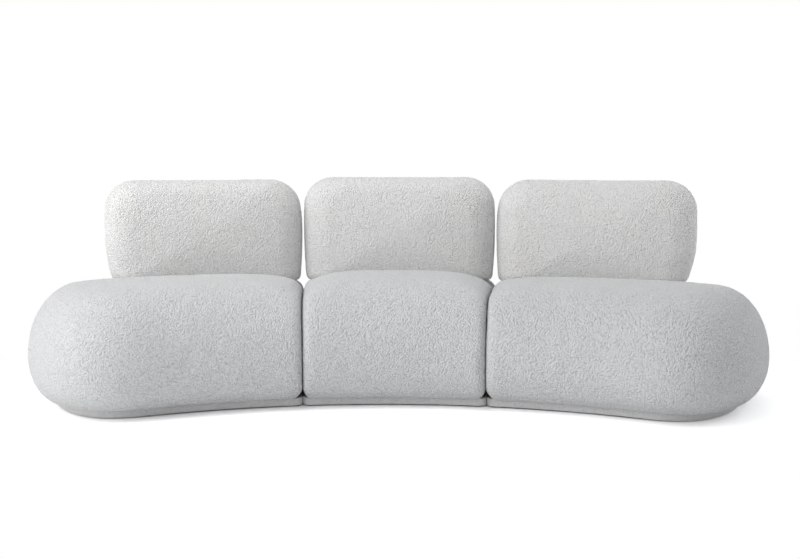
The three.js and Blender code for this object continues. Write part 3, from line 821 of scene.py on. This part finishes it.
def plywood_material():
    """Birch ply: long grain on the faces, thin dark glue lines through the height."""
    m = Nodes("birch_plywood")
    grain = m.noise(26, detail=5, distortion=1.4, vector=m.stretch((1.0, 9.0, 1.2)), rough=0.6)
    pores = m.noise(240, detail=2, vector=m.stretch((0.25, 3.0, 1.0)))
    plies = m.add("ShaderNodeTexWave", wave_type="BANDS", bands_direction="Z")
    plies.inputs["Scale"].default_value = 55
    plies.inputs["Distortion"].default_value = 0.4
    m.join(m.place, plies.inputs["Vector"])
    face = m.ramp(grain, (0.3, (0.62, 0.44, 0.25)), (0.7, (0.78, 0.60, 0.38)))
    lines = m.ramp(plies.outputs["Fac"], (0.05, (0.72, 0.66, 0.58)), (0.22, WHITE))
    m.colour(m.product(face, lines))
    m.roughness(pores, low=0.5, high=0.75)
    height = m.math("ADD", grain, m.math("MULTIPLY", pores, 0.4))
    m.bump(height, strength=0.25, distance=0.0006)
    return m.material


def webbing_material():
    """Elastic strap: a fine cross weave."""
    m = Nodes("elastic_webbing")
    warp = m.add("ShaderNodeTexWave", wave_type="BANDS", bands_direction="X")
    weft = m.add("ShaderNodeTexWave", wave_type="BANDS", bands_direction="Y")
    for wave in (warp, weft):
        wave.inputs["Scale"].default_value = 160
        wave.inputs["Distortion"].default_value = 0.3
        m.join(m.place, wave.inputs["Vector"])
    weave = m.math("MULTIPLY", warp.outputs["Fac"], weft.outputs["Fac"])
    m.colour(m.ramp(weave, (0.1, (0.045, 0.032, 0.024)), (0.8, (0.16, 0.12, 0.085))))
    m.roughness(weave, low=0.8, high=0.95)
    m.bump(weave, strength=0.5, distance=0.0006)
    return m.material


def steel_material():
    """Zinc-plated steel: faint crystal spangle and drawn scratches."""
    m = Nodes("zinc_plated_steel")
    spangle = m.cells(220, smooth=0.1)
    scratch = m.noise(90, detail=3, distortion=0.2, vector=m.stretch((9.0, 9.0, 0.5)))
    m.colour(m.ramp(spangle, (0.1, (0.50, 0.52, 0.55)), (0.8, (0.62, 0.64, 0.66))))
    m.roughness(scratch, low=0.26, high=0.46)
    m.bump(scratch, strength=0.12, distance=0.0002)
    m.fixed(Metallic=0.95)
    return m.material


def dust_material():
    """Spun-bonded cloth: matted fibres with a dimpled grid."""
    m = Nodes("spunbonded_cloth")
    fibres = m.noise(700, detail=3, distortion=2.0)
    dimples = m.cells(330, smooth=0.2)
    m.colour(m.ramp(fibres, (0.3, (0.012, 0.012, 0.013)), (0.7, (0.045, 0.045, 0.048))))
    m.roughness(fibres, low=0.85, high=1.0)
    m.bump(m.math("ADD", fibres, dimples), strength=0.4, distance=0.0004)
    return m.material


def plastic_material():
    """Moulded nylon with a fine eroded grain."""
    m = Nodes("moulded_nylon")
    erosion = m.noise(900, detail=2)
    scuff = m.noise(60, detail=4, distortion=0.8)
    m.colour(m.ramp(scuff, (0.35, (0.022, 0.021, 0.020)), (0.75, (0.055, 0.052, 0.050))))
    m.roughness(scuff, low=0.42, high=0.65)
    m.bump(erosion, strength=0.2, distance=0.0002)
    return m.material


def paint(piece, material):
    piece.data.materials.clear()
    piece.data.materials.append(material)


seat_boucle = boucle_material(
    "boucle_seat",
    light=(0.757, 0.764, 0.773),
    dark=(0.6, 0.607, 0.614),
    warm=(0.985, 0.98, 0.97),
)
# Lighter and warmer than the seats' copy: partly painted light on the backs, partly a tone of their own
back_boucle = boucle_material(
    "boucle_back",
    light=(0.862, 0.86, 0.853),
    dark=(0.718, 0.715, 0.708),
    warm=(1.0, 0.99, 0.97),
    share=0.75,
)
# Painted light: lighter than the seats' copy, to lift the band out of the shade under the seats' overhang
band_boucle_painted_light = boucle_material(
    "boucle_plinth",
    light=(0.93, 0.93, 0.925),
    dark=(0.84, 0.84, 0.83),
    warm=(0.99, 0.985, 0.975),
    share=0.35,
)


def seat_held(points):
    return (points[:, 2] < SEAT_HELD_BELOW) | beside_seam(points)


def back_held(side):
    start, end = back_span(side)

    def held(points):
        s, t = unbend(points)
        foot = points[:, 2] < seat_height(side, s, t) + BACK_HELD_BELOW
        return foot | (s < start + BACK_HELD_BESIDE) | (s > end - BACK_HELD_BESIDE)

    return held


for name, side in SIDES.items():
    seat = cushion(
        f"{name}_seat_cushion", side, seat_form(side), SEAT_VOXEL[side], seat_held, SEAT_SALT + side
    )
    paint(seat, seat_boucle)
    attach(seat, f"{name}_module")
    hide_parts(f"{name}_seat_cover", f"{name}_seat_foam")

    back = cushion(
        f"{name}_back_cushion", side, back_form(side), BACK_VOXEL, back_held(side), BACK_SALT + side
    )
    paint(back, back_boucle)
    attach(back, f"{name}_back")
    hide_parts(f"{name}_back_cover", f"{name}_back_foam")

    strip = band(f"{name}_plinth_band", side, BAND_SALT + side)
    paint(strip, band_boucle_painted_light)
    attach(strip, f"{name}_module")
    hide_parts(f"{name}_plinth_cover")

FINISHES = {
    "_seat_frame": plywood_material(),
    "_webbing": webbing_material(),
    "_mount_bar": steel_material(),
    "_dust_cover": dust_material(),
    "_glide": plastic_material(),
}
FINISHES["_plinth_frame"] = FINISHES["_back_frame"] = FINISHES["_seat_frame"]
FINISHES["_post"] = FINISHES["_hook"] = FINISHES["_catch"] = FINISHES["_mount_bar"]
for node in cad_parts:
    for tail, material in FINISHES.items():
        if node.endswith(tail):
            paint(bpy.data.objects[node], material)


# Softboxes: turn in degrees from the front towards the left, height in degrees, and watts
LAMPS = {
    "front_low": (0, 18, 17),
    "left_front_low": (45, 18, 46),
    "left_front_high": (45, 50, 30),
    "left_middle": (67, 33, 68),
    "left_high": (90, 50, 25),
    "right_low": (-100, 24, 56),
    "right_rear_high": (-135, 50, 20),
    "top": (0, 89, 19),
    "rear_low": (180, 8, 45),
}
LAMP_SIZE = (3.2, 2.6)
LAMP_DISTANCE = 4.6
LAMP_AIM = (0.0, 0.0, 0.4)

# World, floor and camera
SOFT_COLOUR = (0.94, 0.97, 1.0)
SOFT_STRENGTH = 0.24
FLOOR_HALF = 20
FLOOR_PLAIN = 0.9
FLOOR_NEAR = 1.75
FADE_STRETCH = (0.62, 1.0, 1.0)
FADE = (0.62, 1.25)
SENSOR, LENS = 36.0, 54.24
CLIP = (0.05, 100.0)
CAMERA_PLACE = (0.1197, -4.5688 + SHIFT, 0.8837)
CAMERA_DOWN = 0.1043
CAMERA_TURN = 0.0241


def around(turn, height):
    """A place round the sofa at the lamps' distance."""
    turn, height = math.radians(turn), math.radians(height)
    flat = LAMP_DISTANCE * math.cos(height)
    up = LAMP_AIM[2] + LAMP_DISTANCE * math.sin(height)
    return -math.sin(turn) * flat, -math.cos(turn) * flat, up


for name, (turn, height, watts) in LAMPS.items():
    data = bpy.data.lights.new(name, "AREA")
    data.shape, data.energy = "RECTANGLE", watts
    data.size, data.size_y = LAMP_SIZE
    light = bpy.data.objects.new(name, data)
    light.location = around(turn, height)
    light.rotation_euler = (Vector(LAMP_AIM) - light.location).to_track_quat("-Z", "Y").to_euler()
    bpy.context.scene.collection.objects.link(light)


def seen_plainly(tree):
    """1 where a ray of the camera, a shine or a clear surface looks, and 0 for soft light on the sofa."""
    rays = tree.nodes.new("ShaderNodeLightPath")
    seen = rays.outputs["Is Camera Ray"]
    for kind in ("Is Glossy Ray", "Is Transmission Ray"):
        either = tree.nodes.new("ShaderNodeMath")
        either.operation = "MAXIMUM"
        tree.links.new(seen, either.inputs[0])
        tree.links.new(rays.outputs[kind], either.inputs[1])
        seen = either.outputs[0]
    return seen


def add_backdrop():
    """A world that looks white and gives a faint cool light."""
    world = bpy.data.worlds.new("studio")
    bpy.context.scene.world = world
    world.use_nodes = True
    tree = world.node_tree
    tree.nodes.clear()
    out = tree.nodes.new("ShaderNodeOutputWorld")
    mix = tree.nodes.new("ShaderNodeMixShader")
    tree.links.new(seen_plainly(tree), mix.inputs[0])
    for socket, colour, strength in zip(mix.inputs[1:], (SOFT_COLOUR, WHITE), (SOFT_STRENGTH, 1.0)):
        light = tree.nodes.new("ShaderNodeBackground")
        light.inputs["Color"].default_value = (*colour, 1.0)
        light.inputs["Strength"].default_value = strength
        tree.links.new(light.outputs[0], socket)
    tree.links.new(mix.outputs[0], out.inputs[0])


def add_floor():
    """A floor that fades to white away from the sofa and keeps its shadow beside it."""
    low, high = -FLOOR_HALF, FLOOR_HALF
    corners = [(low, low, 0), (high, low, 0), (high, high, 0), (low, high, 0)]
    floor = add_mesh("floor", corners, [(0, 1, 2, 3)])
    m = Nodes("studio_floor")
    m.tree.nodes.remove(m.shader)
    plain = m.add("ShaderNodeBsdfDiffuse")
    plain.inputs["Color"].default_value = (*[FLOOR_PLAIN] * 3, 1.0)
    near = m.add("ShaderNodeBsdfDiffuse")
    near.inputs["Color"].default_value = (*[FLOOR_NEAR] * 3, 1.0)
    far = m.add("ShaderNodeEmission")
    far.inputs["Color"].default_value = (*WHITE, 1.0)
    reach = m.add("ShaderNodeVectorMath", operation="LENGTH")
    m.join(m.stretch(FADE_STRETCH), reach.inputs[0])
    fade = m.add("ShaderNodeMapRange", interpolation_type="SMOOTHSTEP")
    fade.inputs["From Min"].default_value, fade.inputs["From Max"].default_value = FADE
    m.join(reach.outputs["Value"], fade.inputs["Value"])
    shown = m.add("ShaderNodeMixShader")
    last = m.add("ShaderNodeMixShader")
    for mix, parts in (
        (shown, (fade.outputs[0], near.outputs[0], far.outputs[0])),
        (last, (seen_plainly(m.tree), plain.outputs[0], shown.outputs[0])),
    ):
        for part, socket in zip(parts, mix.inputs):
            m.join(part, socket)
    m.join(last.outputs[0], m.tree.nodes["Material Output"].inputs["Surface"])
    paint(floor, m.material)


def add_camera():
    """The photo's camera, as fitted to its outlines."""
    data = bpy.data.cameras.new("camera")
    data.sensor_width, data.lens = SENSOR, LENS
    data.clip_start, data.clip_end = CLIP
    camera = bpy.data.objects.new("camera", data)
    camera.location = CAMERA_PLACE
    camera.rotation_euler = (math.pi / 2 - CAMERA_DOWN, 0.0, CAMERA_TURN)
    scene = bpy.context.scene
    scene.collection.objects.link(camera)
    scene.camera = camera
    scene.view_settings.view_transform = "Standard"


add_backdrop()
add_floor()
add_camera()
